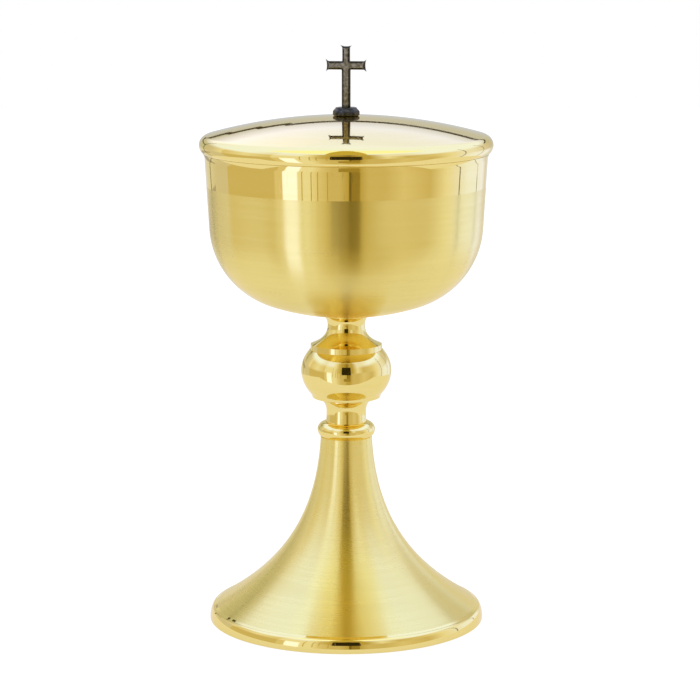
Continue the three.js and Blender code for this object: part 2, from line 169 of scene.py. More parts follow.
def turned_lines_group():
    """Lines that a lathe tool or a polishing pad leaves round the axis, fine and broad."""
    inputs = {"Lines per Millimetre": 4.0, "Upwards": 1.0, "Outwards": 0.0}
    tree, given, out = grouped("turned_lines", inputs, ("Fine", "Broad"))
    place = add_node(tree, "ShaderNodeSeparateXYZ")
    feed(tree, place.inputs[0], add_node(tree, "ShaderNodeTexCoord").outputs["Object"])
    across, deep, height = place.outputs
    across_squared = maths(tree, "MULTIPLY", across, across)
    deep_squared = maths(tree, "MULTIPLY", deep, deep)
    squares = maths(tree, "ADD", across_squared, deep_squared)
    radius = maths(tree, "MAXIMUM", maths(tree, "SQRT", squares), least_radius)
    upwards = maths(tree, "MULTIPLY", height, given["Upwards"])
    outwards = maths(tree, "MULTIPLY", radius, given["Outwards"])
    along = maths(tree, "MULTIPLY", maths(tree, "ADD", upwards, outwards), 1 / mm)
    east = maths(tree, "DIVIDE", across, radius)
    north = maths(tree, "DIVIDE", deep, radius)
    for label, pace in (("Fine", given["Lines per Millimetre"]), ("Broad", broad_lines_per_mm)):
        spot = add_node(tree, "ShaderNodeCombineXYZ")
        feed(tree, spot.inputs[0], east)
        feed(tree, spot.inputs[1], north)
        feed(tree, spot.inputs[2], maths(tree, "MULTIPLY", along, pace))
        grain = add_node(tree, "ShaderNodeTexNoise")
        feed(tree, grain.inputs["Vector"], spot.outputs[0])
        grain.inputs["Scale"].default_value = 1.0
        grain.inputs["Detail"].default_value = 3.0
        feed(tree, out[label], ranged(tree, grain.outputs[0], 0.25, 0.75, 0.0, 1.0))
    return tree


def handling_group():
    """What hands and cloths leave on plating: soft smudges and rare hair-thin scratches."""
    tree, given, out = grouped("handling", {"Smudges per Metre": 45.0}, ("Smudge", "Hairline"))
    place = add_node(tree, "ShaderNodeTexCoord").outputs["Object"]
    smear = add_node(tree, "ShaderNodeTexNoise")
    feed(tree, smear.inputs["Vector"], place)
    feed(tree, smear.inputs["Scale"], given["Smudges per Metre"])
    smear.inputs["Detail"].default_value = 5.0
    feed(tree, out["Smudge"], ranged(tree, smear.outputs[0], 0.42, 0.68, 0.0, 1.0))
    hairs = []
    for turn in ((0.4, 0.7, 0.2), (1.3, 0.3, 1.1)):
        slanted = add_node(tree, "ShaderNodeMapping")
        feed(tree, slanted.inputs["Vector"], place)
        slanted.inputs["Rotation"].default_value = turn
        slanted.inputs["Scale"].default_value = (1500, 1500, 35)
        hair = add_node(tree, "ShaderNodeTexNoise")
        feed(tree, hair.inputs["Vector"], slanted.outputs[0])
        hair.inputs["Scale"].default_value = 1.0
        hair.inputs["Detail"].default_value = 0.0
        hairs.append(ranged(tree, hair.outputs[0], 0.74, 0.8, 0.0, 1.0))
    feed(tree, out["Hairline"], maths(tree, "MAXIMUM", *hairs))
    return tree


turned_lines = turned_lines_group()
handling = handling_group()
deep_gold = (0.90, 0.69, 0.18)
pale_gold = (0.92, 0.71, 0.205)
plating_edge = (1.0, 0.93, 0.74, 1.0)


def blank_metal(name, metallic=1.0):
    """A new metal: its material, its nodes, and the sockets of its shader."""
    material = bpy.data.materials.new(name)
    material.use_nodes = True
    shader = material.node_tree.nodes["Principled BSDF"].inputs
    shader["Metallic"].default_value = metallic
    return material, material.node_tree, shader


def effect(tree, group, **values):
    """Places a node group in a material, with this material's own values."""
    node = add_node(tree, "ShaderNodeGroup", node_tree=group)
    for label, value in values.items():
        node.inputs[label.replace("_", " ")].default_value = value
    return node.outputs


def shaded(tree, factor, dark, light):
    """A colour that runs from one to another as the factor rises."""
    mix = add_node(tree, "ShaderNodeMix", data_type="RGBA")
    feed(tree, mix.inputs["Factor"], factor)
    for socket in mix.inputs:
        if socket.type == "RGBA":
            socket.default_value = (*dark, 1.0) if socket.name == "A" else (*light, 1.0)
    return next(socket for socket in mix.outputs if socket.type == "RGBA")


def raised(tree, height, depth):
    """A normal from a height of 0 to 1 that stands for this depth in metres."""
    bump = add_node(tree, "ShaderNodeBump")
    feed(tree, bump.inputs["Height"], height)
    bump.inputs["Distance"].default_value = depth
    return bump.outputs[0]


def worked_metal(name, pace, upwards, outwards, smudges=45.0):
    """A new metal with the tool lines and the marks of handling that its shader is to show."""
    material, tree, shader = blank_metal(name)
    lines = effect(tree, turned_lines, Lines_per_Millimetre=pace, Upwards=upwards, Outwards=outwards)
    marks = effect(tree, handling, Smudges_per_Metre=smudges)
    return material, tree, shader, lines, marks


def polished_gilding(name, upwards, outwards):
    """Mirror-polished gold plate with faint tool lines, smudges and hairline scratches."""
    material, tree, shader, lines, marks = worked_metal(name, 2.5, upwards, outwards)
    shader["Specular Tint"].default_value = plating_edge
    feed(tree, shader["Base Color"], shaded(tree, lines["Broad"], deep_gold, pale_gold))
    smudged = ranged(tree, marks["Smudge"], 0.0, 1.0, 0.035, 0.075)
    scratched = maths(tree, "MULTIPLY", marks["Hairline"], 0.12)
    feed(tree, shader["Roughness"], maths(tree, "ADD", smudged, scratched))
    feed(tree, shader["Normal"], raised(tree, lines["Broad"], 0.0007 * mm))
    return material


rim_profile = swept((rim_high.x - rim_reach, 0), rim_reach, 8, 90, 20, rise=rim_height)
rim_inside = rim_high.x - rim_width
rim_foot = [(rim_inside, rim_height), (rim_inside, rim_ease), (rim_inside + rim_ease, 0)]
rim_edge = [(rim_high.x - 0.5 * mm, 0), (rim_high.x - 0.12 * mm, 0.25 * mm)]
rim_gilding = polished_gilding("rim_gilding", 1.0, 0.0)
foot_ring = turned("foot_ring", rim_profile + rim_foot + rim_edge, rim_turns)
fit(foot_ring, rim_gilding, "polished_gilt", "base", "foot_rim")

# The trumpet foot
# Brass sheet spun over a former into a trumpet with a closed crown, gold plated, then brushed
# round the axis with a fine pad. A hair's breadth at its edge stays bright against the ring.

foot_low, foot_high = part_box("foot_shell")
foot_turns = 256
foot_top_radius = 12.4 * mm
foot_wall = 1.2 * mm
foot_crown = 1.5 * mm
foot_bore = 6.3 * mm
foot_bright_edge = 1.2 * mm
foot_inside_depth = 0.4 * mm
foot_bottom_depth = 0.02 * mm
flare_edge_slope = 30.7
flare_edge_pull = 40.4 * mm
flare_top_slope = 3.2
flare_top_pull = 37.9 * mm
skirt_ease = 0.4 * mm
brushed_deep_gold = (0.895, 0.695, 0.175)
brushed_pale_gold = (0.92, 0.72, 0.195)


def flowing(*handles, steps):
    """Points on a smooth line from the first handle to the last, drawn aside by those between."""
    order = len(handles) - 1
    points = []
    for step in range(steps + 1):
        share = step / steps
        weights = [math.comb(order, n) * (1 - share) ** (order - n) * share ** n for n in range(order + 1)]
        points.append(tuple(sum(w * h[axis] for w, h in zip(weights, handles)) for axis in (0, 1)))
    return points


def leaning(point, reach, degrees):
    """The point at a reach from another one, in a direction given in degrees."""
    angle = math.radians(degrees)
    return (point[0] + reach * math.cos(angle), point[1] + reach * math.sin(angle))


def beside(points, distance):
    """The same line moved to the left of its direction."""
    moved = []
    for index, point in enumerate(points):
        before = Vector(points[max(index - 1, 0)])
        after = Vector(points[min(index + 1, len(points) - 1)])
        along = (after - before).normalized()
        moved.append((point[0] - along.y * distance, point[1] + along.x * distance))
    return moved


def pick(*pieces):
    """Leaves only these pieces selected, and the first of them active."""
    bpy.ops.object.select_all(action="DESELECT")
    for piece in pieces:
        piece.select_set(True)
    bpy.context.view_layer.objects.active = pieces[0]


def choose_faces(piece, wanted):
    """Selects, in edit mode, the faces whose centre and normal pass a test."""
    pick(piece)
    bpy.ops.object.mode_set(mode="EDIT")
    bpy.ops.mesh.select_mode(type="FACE")
    bpy.ops.mesh.select_all(action="DESELECT")
    mesh = bmesh.from_edit_mesh(piece.data)
    for face in mesh.faces:
        face.select = wanted(face.calc_center_median(), face.normal)
    mesh.select_flush_mode()
    bmesh.update_edit_mesh(piece.data)


def refinish(piece, material, wanted):
    """Gives a second material to the faces that pass a test."""
    piece.data.materials.append(material)
    choose_faces(piece, wanted)
    piece.active_material_index = len(piece.data.materials) - 1
    bpy.ops.object.material_slot_assign()
    bpy.ops.object.mode_set(mode="OBJECT")


def satin_gilding(name, upwards, outwards, smear):
    """Gold plate brushed round the axis: it smears what it reflects up and down."""
    material, tree, shader, lines, marks = worked_metal(name, 1.4, upwards, outwards, 30.0)
    shader["Specular Tint"].default_value = plating_edge
    shader["Anisotropic"].default_value = 1.0
    shader["Anisotropic Rotation"].default_value = 0.25
    feed(tree, shader["Tangent"], add_node(tree, "ShaderNodeTangent", axis="Z").outputs[0])
    feed(tree, shader["Base Color"], shaded(tree, lines["Fine"], brushed_deep_gold, brushed_pale_gold))
    brushed = ranged(tree, lines["Broad"], 0.0, 1.0, smear - 0.025, smear + 0.025)
    smudged = maths(tree, "MULTIPLY", marks["Smudge"], 0.03)
    feed(tree, shader["Roughness"], maths(tree, "ADD", brushed, smudged))
    feed(tree, shader["Normal"], raised(tree, lines["Fine"], 0.0008 * mm))
    return material


def spun_underside(name):
    """The plated back of a spun wall, left with its tool lines."""
    material, tree, shader, lines, marks = worked_metal(name, 1.6, 1.0, -1.0)
    feed(tree, shader["Base Color"], shaded(tree, lines["Broad"], (0.80, 0.60, 0.20), (0.92, 0.72, 0.27)))
    feed(tree, shader["Roughness"], ranged(tree, marks["Smudge"], 0.0, 1.0, 0.22, 0.34))
    feed(tree, shader["Normal"], raised(tree, lines["Fine"], 0.015 * mm))
    return material


flare_start = (foot_high.x, foot_low.z)
flare_end = (foot_top_radius, foot_high.z)
flare = flowing(
    flare_start,
    leaning(flare_start, flare_edge_pull, 180 - flare_edge_slope),
    leaning(flare_end, flare_top_pull, -90 + flare_top_slope),
    flare_end,
    steps=96,
)
crown_level = foot_high.z - foot_crown
flare_inside = [point for point in beside(flare, foot_wall) if foot_low.z < point[1] < crown_level]
crown_corner = (flare_inside[-1][0], crown_level)
skirt_corner = (flare_inside[0][0] + skirt_ease, foot_low.z)
foot_crown_line = [(foot_bore, foot_high.z), (foot_bore, crown_level), crown_corner]
foot_profile = flare + foot_crown_line + flare_inside[::-1] + [skirt_corner]
trumpet_foot = turned("trumpet_foot", foot_profile, foot_turns)
foot_satin = satin_gilding("foot_satin", 1.0, -1.0, 0.27)
fit(trumpet_foot, foot_satin, "satin_gilt", "base", "foot_shell")
flare_reach = sorted((height, radius) for radius, height in flare)


def flare_radius(height):
    """The radius of the foot's outside at a height."""
    for (low, wide), (high, narrow) in zip(flare_reach, flare_reach[1:]):
        if low <= height <= high:
            return wide + (narrow - wide) * (height - low) / (high - low)
    return foot_top_radius


def under_foot(centre, normal):
    """Whether a face is inside the trumpet or on the narrow edge at its bottom."""
    inside = math.hypot(centre.x, centre.y) < flare_radius(centre.z) - foot_inside_depth
    return inside or centre.z < foot_low.z + foot_bottom_depth


def bright_foot_edge(centre, normal):
    """Whether a face is on the hair's breadth that stays bright against the ring."""
    return normal.z > 0 and math.hypot(centre.x, centre.y) > foot_high.x - foot_bright_edge


refinish(trumpet_foot, spun_underside("foot_underside"), under_foot)
refinish(trumpet_foot, rim_gilding, bright_foot_edge)

# The collar bead
# A solid turned ring on the crown of the foot, polished bright. A spigot under it drops into
# the bore of the foot and keeps it central.

collar_low, collar_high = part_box("stem_collar")
stem_turns = 192
bead_radius = 3.86 * mm
bead_drop = 0.45 * mm
collar_neck_radius = 9.9 * mm
collar_overhang = 0.2 * mm
rod_bore = 3.4 * mm
spigot_radius = 6 * mm
spigot_bore = 6.3 * mm
spigot_length = 1 * mm
spigot_recess = 1.3 * mm
stem_gilding = polished_gilding("stem_gilding", 1.0, 0.2)

collar_level = collar_low.z + spigot_length
bead_centre = (collar_high.x - bead_radius, collar_high.z - bead_drop - bead_radius)
collar_profile = [
    (rod_bore, collar_low.z),
    (spigot_radius, collar_low.z),
    (spigot_radius, collar_level),
    (foot_top_radius + collar_overhang, collar_level),
    *swept(bead_centre, bead_radius, -55, 88, 48),
    (collar_neck_radius, collar_high.z - bead_drop),
    (collar_neck_radius, collar_high.z),
    (spigot_bore, collar_high.z),
    (spigot_bore, collar_high.z - spigot_recess),
    (rod_bore, collar_high.z - spigot_recess),
]
collar_bead = turned("collar_bead", collar_profile, stem_turns)
fit(collar_bead, stem_gilding, "polished_gilt", "base", "stem_collar")

# The sleeve
# A short turned tube, slightly waisted, that lifts the ball off the collar. Its spigots sit in
# the collar below and in the ball above.

sleeve_low, sleeve_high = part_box("stem_sleeve")
sleeve_waist_radius = 9.62 * mm
sleeve_land = 0.7 * mm
sleeve_cove = 7 * mm
sleeve_cove_turn = 50
sleeve_flare = 0.2 * mm
sleeve_lower_pull = 2 * mm
sleeve_upper_pull = 4 * mm

sleeve_foot = sleeve_low.z + spigot_length
sleeve_head = sleeve_high.z - spigot_length
cove_height = sleeve_cove * math.sin(math.radians(sleeve_cove_turn))
sleeve_waist = (sleeve_waist_radius, sleeve_head - sleeve_land - cove_height)
sleeve_cove_centre = (sleeve_waist[0] + sleeve_cove, sleeve_waist[1])
sleeve_line = flowing(
    (sleeve_waist[0] + sleeve_flare, sleeve_foot),
    (sleeve_waist[0], sleeve_foot + sleeve_lower_pull),
    (sleeve_waist[0], sleeve_foot + sleeve_upper_pull),
    sleeve_waist,
    steps=12,
)
sleeve_line += swept(sleeve_cove_centre, sleeve_cove, 180, 180 - sleeve_cove_turn, 16)[1:]
sleeve_profile = [
    (rod_bore, sleeve_low.z),
    (spigot_radius, sleeve_low.z),
    (spigot_radius, sleeve_foot),
    *sleeve_line,
    (sleeve_line[-1][0], sleeve_head),
    (spigot_radius, sleeve_head),
    (spigot_radius, sleeve_high.z),
    (rod_bore, sleeve_high.z),
]
waisted_sleeve = turned("waisted_sleeve", sleeve_profile, stem_turns)
fit(waisted_sleeve, stem_gilding, "polished_gilt", "base", "stem_sleeve")

# The ball
# Two spun cups, soldered rim to rim, filed flush and polished until the seam is gone. The lower
# one is deeper. It is hollow, with a bored floor and roof for the rod.

ball_low, ball_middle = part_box("knop_lower_half")
ball_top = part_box("knop_upper_half")[1].z
ball_radius = ball_middle.x
ball_wall = 1.2 * mm
ball_lower_curve = 18.3 * mm
ball_upper_curve = 17.4 * mm
ball_girth_drop = 1.1 * mm
ball_rim_radius = 16.5 * mm
ball_rim_lift = 0.6 * mm
ball_rim_height = 1.9 * mm
ball_rim_round = 0.35 * mm
ball_floor_edge = 0.5 * mm
ball_seam = ball_middle.z
plate_radius = 17.3 * mm
girth_level = ball_seam - ball_girth_drop


def ball_line(low, high, depth, steps):
    """The ball's wall from one height up to another, at a depth inside the metal."""
    points = []
    for step in range(steps + 1):
        height = low + (high - low) * step / steps
        curve = ball_upper_curve if height > girth_level else ball_lower_curve
        share = (height - girth_level) / (curve - depth)
        points.append(((ball_radius - depth) * math.sqrt(1 - share ** 2), height))
    return points


rim_level = ball_low.z + ball_rim_lift
rim_corner = (ball_rim_radius - ball_rim_round, rim_level + ball_rim_round)
lower_profile = [
    (spigot_bore, ball_low.z),
    (sleeve_line[-1][0] + ball_floor_edge, ball_low.z),
    *swept(rim_corner, ball_rim_round, -80, -8, 6),
    *ball_line(rim_level + ball_rim_height, ball_seam, 0, 72),
    *ball_line(ball_low.z + ball_wall, ball_seam, ball_wall, 32)[::-1],
    (spigot_bore, ball_low.z + ball_wall),
]
lower_ball = turned("lower_ball", lower_profile, stem_turns)
fit(lower_ball, stem_gilding, "polished_gilt", "base", "knop_lower_half")

upper_profile = [
    *ball_line(ball_seam, ball_top, 0, 48),
    (spigot_bore, ball_top),
    (spigot_bore, ball_top - ball_wall),
    *ball_line(ball_seam, ball_top - ball_wall, ball_wall, 24)[::-1],
]
upper_ball = turned("upper_ball", upper_profile, stem_turns)
fit(upper_ball, stem_gilding, "polished_gilt", "base", "knop_upper_half")

# The neck
# Turned from solid bar: a flat plate that closes the ball, a throat that sweeps up to the waist,
# and a top that opens again and is dished to fit the bottom of the cup.

neck_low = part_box("stem_neck")[0]
neck_level = neck_low.z + spigot_length
cup_low, cup_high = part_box("bowl")
neck_height = cup_low.z - neck_level
neck_waist_radius = 9.0 * mm
neck_waist_height = 12.0 * mm
neck_top_curve = 6.5 * mm
plate_thickness = 2.7 * mm
plate_bevel = 0.1 * mm
plate_slope = 160
plate_pull = 5.2 * mm
neck_waist_pull = 4.8 * mm
neck_fit = 0.01 * mm
cup_base_curve = 120 * mm
boss_bore = 6.6 * mm
boss_gap = 0.3 * mm
boss_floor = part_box("bowl_boss")[0].z - boss_gap


def cup_underside(radius):
    """The height of the cup's bottom at a radius."""
    return cup_low.z + cup_base_curve - math.sqrt(cup_base_curve ** 2 - radius ** 2)


plate_top = (plate_radius - plate_bevel, neck_level + plate_thickness)
waist = (neck_waist_radius, neck_level + neck_waist_height)
throat_start = leaning(plate_top, plate_pull, plate_slope)
throat_end = leaning(waist, neck_waist_pull, -90)
throat = flowing(plate_top, throat_start, throat_end, waist, steps=48)
neck_rise = math.degrees(math.asin((neck_height - neck_waist_height) / neck_top_curve))
neck_upper = swept((waist[0] + neck_top_curve, waist[1]), neck_top_curve, 180, 180 - neck_rise, 24)
neck_edge = neck_upper[-1][0]
neck_profile = [
    (rod_bore, neck_low.z),
    (spigot_radius, neck_low.z),
    (spigot_radius, neck_level),
    (plate_radius, neck_level),
    *throat,
    *neck_upper[1:-1],
    (neck_edge, cup_underside(neck_edge) - neck_fit),
    (boss_bore, cup_underside(boss_bore) - neck_fit),
    (boss_bore, boss_floor),
    (rod_bore, boss_floor),
]
turned_neck = turned("turned_neck", neck_profile, stem_turns)
fit(turned_neck, stem_gilding, "polished_gilt", "base", "stem_neck")

# The boss under the cup
# A blind brass boss, soldered to the bottom of the cup inside the neck. The rod screws into it.

boss_low, boss_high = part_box("bowl_boss")
boss_roof = 2 * mm
boss_thread_bore = 3.1 * mm
boss_ease = 0.4 * mm
small_turns = 96


def lathe_metal(name, smudges, clean, dulled, smooth, rough, depth):
    """A metal straight from the lathe, darker and rougher where hands have dulled it."""
    material, tree, shader, lines, marks = worked_metal(name, 5.0, 1.0, 1.0, smudges)
    feed(tree, shader["Base Color"], shaded(tree, marks["Smudge"], clean, dulled))
    feed(tree, shader["Roughness"], ranged(tree, marks["Smudge"], 0.0, 1.0, smooth, rough))
    feed(tree, shader["Normal"], raised(tree, lines["Fine"], depth))
    return material


brass = lathe_metal("turned_brass", 120.0, (0.66, 0.47, 0.17), (0.52, 0.35, 0.13), 0.26, 0.42, 0.01 * mm)
boss_profile = [
    (0, boss_high.z - boss_roof),
    (boss_thread_bore, boss_high.z - boss_roof),
    (boss_thread_bore, boss_low.z),
    (boss_high.x - boss_ease, boss_low.z),
    (boss_high.x, boss_low.z + boss_ease),
    (boss_high.x, boss_high.z),
    (0, boss_high.z),
]
cup_boss = turned("cup_boss", boss_profile, small_turns)
fit(cup_boss, brass, "plain_brass", "base", "bowl_boss")

# The cup
# Spun from one disc of brass to a rounded bottom and a wall that leans out a little, with a thick
# rounded lip. The outside is brushed round the axis, but for a bright band under the lip. The
# inside is polished throughout.

cup_turns = 256
cup_wall = 1.2 * mm
cup_taper = 3.32
cup_corner_radius = 40.6 * mm
lip_radius = cup_high.x
lip_flare = 0.42 * mm
lip_overhang = 0.38 * mm
lip_height = 1 * mm
lip_width = 1.5 * mm
lip_gap = 0.06 * mm
lip_inside_drop = 1.2 * mm
lid_low, lid_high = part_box("lid_shell")
lid_roll_radius = 4.8 * mm
bright_band = 14.5 * mm

# Lines round the wall, closer towards the lip, so that its flare doesn't bend what the wall mirrors
wall_shares = (0.25, 0.5, 0.75, 0.9, 0.98, 1.0)

cup_height = cup_high.z - cup_low.z
wall_top = (lip_radius - lip_flare, cup_height - lip_height)
wall_lean = math.tan(math.radians(cup_taper))


def corner_centre():
    """Where the cup's rounded corner is centred, to touch both its wall and its bottom."""
    sideways = cup_corner_radius / math.cos(math.radians(cup_taper))
    at_base = wall_top[0] - wall_top[1] * wall_lean - sideways
    reach = cup_base_curve - cup_corner_radius
    a = 1 + wall_lean ** 2
    b = 2 * (at_base * wall_lean - cup_base_curve)
    c = at_base ** 2 + cup_base_curve ** 2 - reach ** 2
    height = (-b - math.sqrt(b * b - 4 * a * c)) / (2 * a)
    return (at_base + height * wall_lean, height)


def cup_face(depth):
    """One face of the cup from the axis to below the lip, at a depth inside the metal."""
    centre = corner_centre()
    join = math.degrees(math.atan2(centre[1] - cup_base_curve, centre[0]))
    base = swept((0, cup_base_curve), cup_base_curve - depth, -90, join, 16)
    base[0] = (0, base[0][1])
    corner = swept(centre, cup_corner_radius - depth, join, -cup_taper, 40)
    across = depth / math.cos(math.radians(cup_taper))
    top = (wall_top[0] - across, wall_top[1])
    wall = []
    for share in wall_shares:
        wall.append(tuple(start + (end - start) * share for start, end in zip(corner[-1], top)))
    return base + corner[1:] + wall


seat_centre = (lid_high.x - lid_roll_radius, lid_low.z + lid_roll_radius - cup_low.z)
seat_radius = lid_roll_radius + lip_gap
seat_outside = math.degrees(math.acos((lip_radius + lip_overhang - seat_centre[0]) / seat_radius))
seat_inside = math.degrees(math.acos((lip_radius - lip_width - seat_centre[0]) / seat_radius))
lip = [
    *swept(seat_centre, seat_radius, -seat_outside, -seat_inside, 12),
    (lip_radius - lip_width, cup_height - lip_inside_drop),
]
cup_line = cup_face(0) + lip + cup_face(cup_wall)[::-1]
cup_profile = [(radius, cup_low.z + height) for radius, height in cup_line]
cup = turned("cup", cup_profile, cup_turns)
fit(cup, satin_gilding("cup_satin", 1.0, 1.0, 0.24), "satin_gilt", "base", "bowl")
band_level = cup_high.z - bright_band


def split_level(piece, height):
    """Cuts a line round a piece at a height, so that a finish can end there."""
    choose_faces(piece, lambda centre, normal: True)
    bpy.ops.mesh.bisect(plane_co=(0, 0, height), plane_no=(0, 0, 1))
    bpy.ops.object.mode_set(mode="OBJECT")


def bright_cup_faces(centre, normal):
    """Whether a face is inside the cup, on its lip, or on the bright band."""
    inward = normal.x * centre.x + normal.y * centre.y < 0
    return inward or normal.z > 0.5 or centre.z > band_level


split_level(cup, band_level)
refinish(cup, polished_gilding("cup_gilding", 1.0, 0.3), bright_cup_faces)

# The tie rod
# A steel rod, zinc plated and slightly clouded, threaded at both ends. It pulls the whole stem
# together between the boss and the nut in the foot.

rod_low, rod_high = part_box("tie_rod")
rod_radius = rod_high.x
rod_thread_pitch = 1 * mm
rod_thread_depth = 0.45 * mm
rod_tail_thread = 13 * mm
rod_head_thread = 11 * mm
rod_point = 0.4 * mm
rod_step = 0.5 * mm
thread_start = 0.3 * mm
thread_sunk = 0.05 * mm
thread_merge_reach = 0.001 * mm
tooth_shares = (0, 0.4, 0.52, 0.92)
rod_turns = 64


def thread(name, radius, depth, pitch, low, high):
    """A rolled thread: one tooth swept up a helix round the rod's core, closed at both ends."""
    sunk = radius - depth - thread_sunk
    tooth = [(reach, pitch * share) for reach, share in zip((sunk, radius, radius, sunk), tooth_shares)]
    piece = drawn(name, [(across, 0, low + up) for across, up in tooth + tooth[:1]])
    weld(thread_merge_reach)
    bpy.ops.object.mode_set(mode="OBJECT")
    helix = piece.modifiers.new("helix", "SCREW")
    helix.steps = helix.render_steps = 32
    helix.iterations = int((high - low) / pitch) - 1
    helix.screw_offset = pitch
    bpy.ops.object.modifier_apply(modifier="helix")
    bpy.ops.object.mode_set(mode="EDIT")
    bpy.ops.mesh.select_mode(type="EDGE")
    bpy.ops.mesh.select_all(action="DESELECT")
    bpy.ops.mesh.select_non_manifold()
    bpy.ops.mesh.fill()
    face_outwards()
    return piece


def joined(name, *parts):
    """Makes one piece of several parts that are really one."""
    pick(*parts)
    bpy.ops.object.join()
    parts[0].name = name
    parts[0].data.name = name
    bpy.ops.object.shade_smooth_by_angle(angle=smooth_under)
    return parts[0]


steel = lathe_metal("zinc_steel", 260.0, (0.60, 0.61, 0.62), (0.42, 0.43, 0.45), 0.24, 0.4, 0.006 * mm)
rod_root = rod_radius - rod_thread_depth
tail_end = rod_low.z + rod_tail_thread
head_start = rod_high.z - rod_head_thread
rod_profile = [
    (0, rod_low.z),
    (rod_root - rod_point, rod_low.z),
    (rod_root, rod_low.z + rod_point),
    (rod_root, tail_end),
    (rod_radius, tail_end + rod_step),
    (rod_radius, head_start - rod_step),
    (rod_root, head_start),
    (rod_root, rod_high.z - rod_point),
    (rod_root - rod_point, rod_high.z),
    (0, rod_high.z),
]
rod_core = turned("rod_core", rod_profile, rod_turns)
tooth_size = (rod_radius, rod_thread_depth, rod_thread_pitch)
rod_tail = thread("rod_tail", *tooth_size, rod_low.z + thread_start, tail_end)
rod_head = thread("rod_head", *tooth_size, head_start, rod_high.z - thread_start)
stem_rod = joined("stem_rod", rod_core, rod_tail, rod_head)
fit(stem_rod, steel, "steel", "base", "tie_rod")

# What clamps the rod
# A brass plate under the crown of the foot spreads the pull, with a zinc-plated washer and a
# hexagon nut below it, tightened through the hollow foot.

plate_low, plate_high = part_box("foot_backing_plate")
rod_washer_low, rod_washer_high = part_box("rod_washer")
nut_low, nut_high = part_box("rod_nut")
rod_nut_flats = 10 * mm
rod_nut_bore = 3.05 * mm
nut_bore_ease = 0.35 * mm
nut_face_share = 0.97
barrel_reach_share = 1.02
barrel_fall_share = 1.3


def ring(name, low, high, face):
    """A turned ring, the same at both faces, from radii that each have a depth below the face."""
    lower = [(radius, low.z + depth) for radius, depth in face]
    upper = [(radius, high.z - depth) for radius, depth in face[::-1]]
    return turned(name, lower + upper, small_turns)


def flat_ring(name, low, high, bore, edge):
    """A turned disc with a bore, its edges eased all round."""
    return ring(name, low, high, [(bore, edge), (bore + edge, 0), (high.x - edge, 0), (high.x, edge)])


def hexagon_nut(name, low, high, flats, bore):
    """A nut cut from hexagon bar, with its corners and its bore turned off at both faces."""
    height = high.z - low.z
    corner = flats / math.sqrt(3)
    turned_off = (corner - flats / 2) * math.tan(math.radians(30))
    bpy.ops.object.select_all(action="DESELECT")
    bpy.ops.mesh.primitive_cylinder_add(
        vertices=6,
        radius=corner,
        depth=height,
        location=(0, 0, low.z + height / 2),
        rotation=(0, 0, math.pi / 6),
    )
    bar = bpy.context.object
    bar.name = name
    bar.data.name = name
    bpy.ops.object.transform_apply(location=True, rotation=True, scale=True)
    barrel_face = [
        (bore, nut_bore_ease),
        (bore + nut_bore_ease, 0),
        (flats / 2 * nut_face_share, 0),
        (corner * barrel_reach_share, turned_off * barrel_fall_share),
    ]
    barrel = ring(name + "_barrel", low, high, barrel_face)
    pick(bar)
    cut = bar.modifiers.new("turned_off", "BOOLEAN")
    cut.operation = "INTERSECT"
    cut.object = barrel
    bpy.ops.object.modifier_apply(modifier="turned_off")
    pick(barrel)
    bpy.ops.object.delete()
    pick(bar)
    bpy.ops.object.shade_smooth_by_angle(angle=math.radians(20))
    return bar


clamp_plate = flat_ring("clamp_plate", plate_low, plate_high, rod_bore, 0.25 * mm)
fit(clamp_plate, brass, "plain_brass", "base", "foot_backing_plate")
clamp_washer = flat_ring("clamp_washer", rod_washer_low, rod_washer_high, rod_bore, 0.15 * mm)
fit(clamp_washer, steel, "steel", "base", "rod_washer")
clamp_nut = hexagon_nut("clamp_nut", nut_low, nut_high, rod_nut_flats, rod_nut_bore)
fit(clamp_nut, steel, "steel", "base", "rod_nut")

# The lid
# A shallow dome spun from one disc, its edge curled under into a hollow roll that rests on the
# lip of the cup. Polished all over.

lid_turns = 256
lid_wall = 0.9 * mm
lid_dome_curve = 250 * mm
lid_curl = 130
stud_bore = 1.9 * mm

roll_radius = lid_high.x - lid_roll_radius
dome_drop = math.sqrt((lid_dome_curve - lid_roll_radius) ** 2 - roll_radius ** 2)
dome_centre = lid_high.z - math.sqrt(lid_dome_curve ** 2 - stud_bore ** 2)
roll_level = dome_centre + dome_drop
meeting = math.degrees(math.atan2(dome_drop, roll_radius))
bore_outside = math.degrees(math.acos(stud_bore / lid_dome_curve))
bore_inside = math.degrees(math.acos(stud_bore / (lid_dome_curve - lid_wall)))
roll_thickness = lid_roll_radius - lid_wall
lid_edge = (roll_radius, roll_level)
lid_profile = [
    *swept((0, dome_centre), lid_dome_curve - lid_wall, bore_inside, meeting, 32),
    *swept(lid_edge, roll_thickness, meeting, -lid_curl, 40)[1:],
    *swept(lid_edge, lid_roll_radius, -lid_curl, meeting, 56),
    *swept((0, dome_centre), lid_dome_curve, meeting, bore_outside, 40)[1:],
]
domed_lid = turned("domed_lid", lid_profile, lid_turns)
lid_gilding = polished_gilding("lid_gilding", 0.3, 1.0)
fit(domed_lid, lid_gilding, "polished_gilt", "lid", "lid_shell")

# The locating ring
# A plain brass ring, plated with the lid and soldered under it, that drops inside the lip of the
# cup and keeps the lid central.

locating_low, locating_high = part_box("lid_locating_ring")
locating_wall = 1 * mm
locating_ease = 0.3 * mm
locating_lead = 0.4 * mm
locating_lead_rise = 0.6 * mm

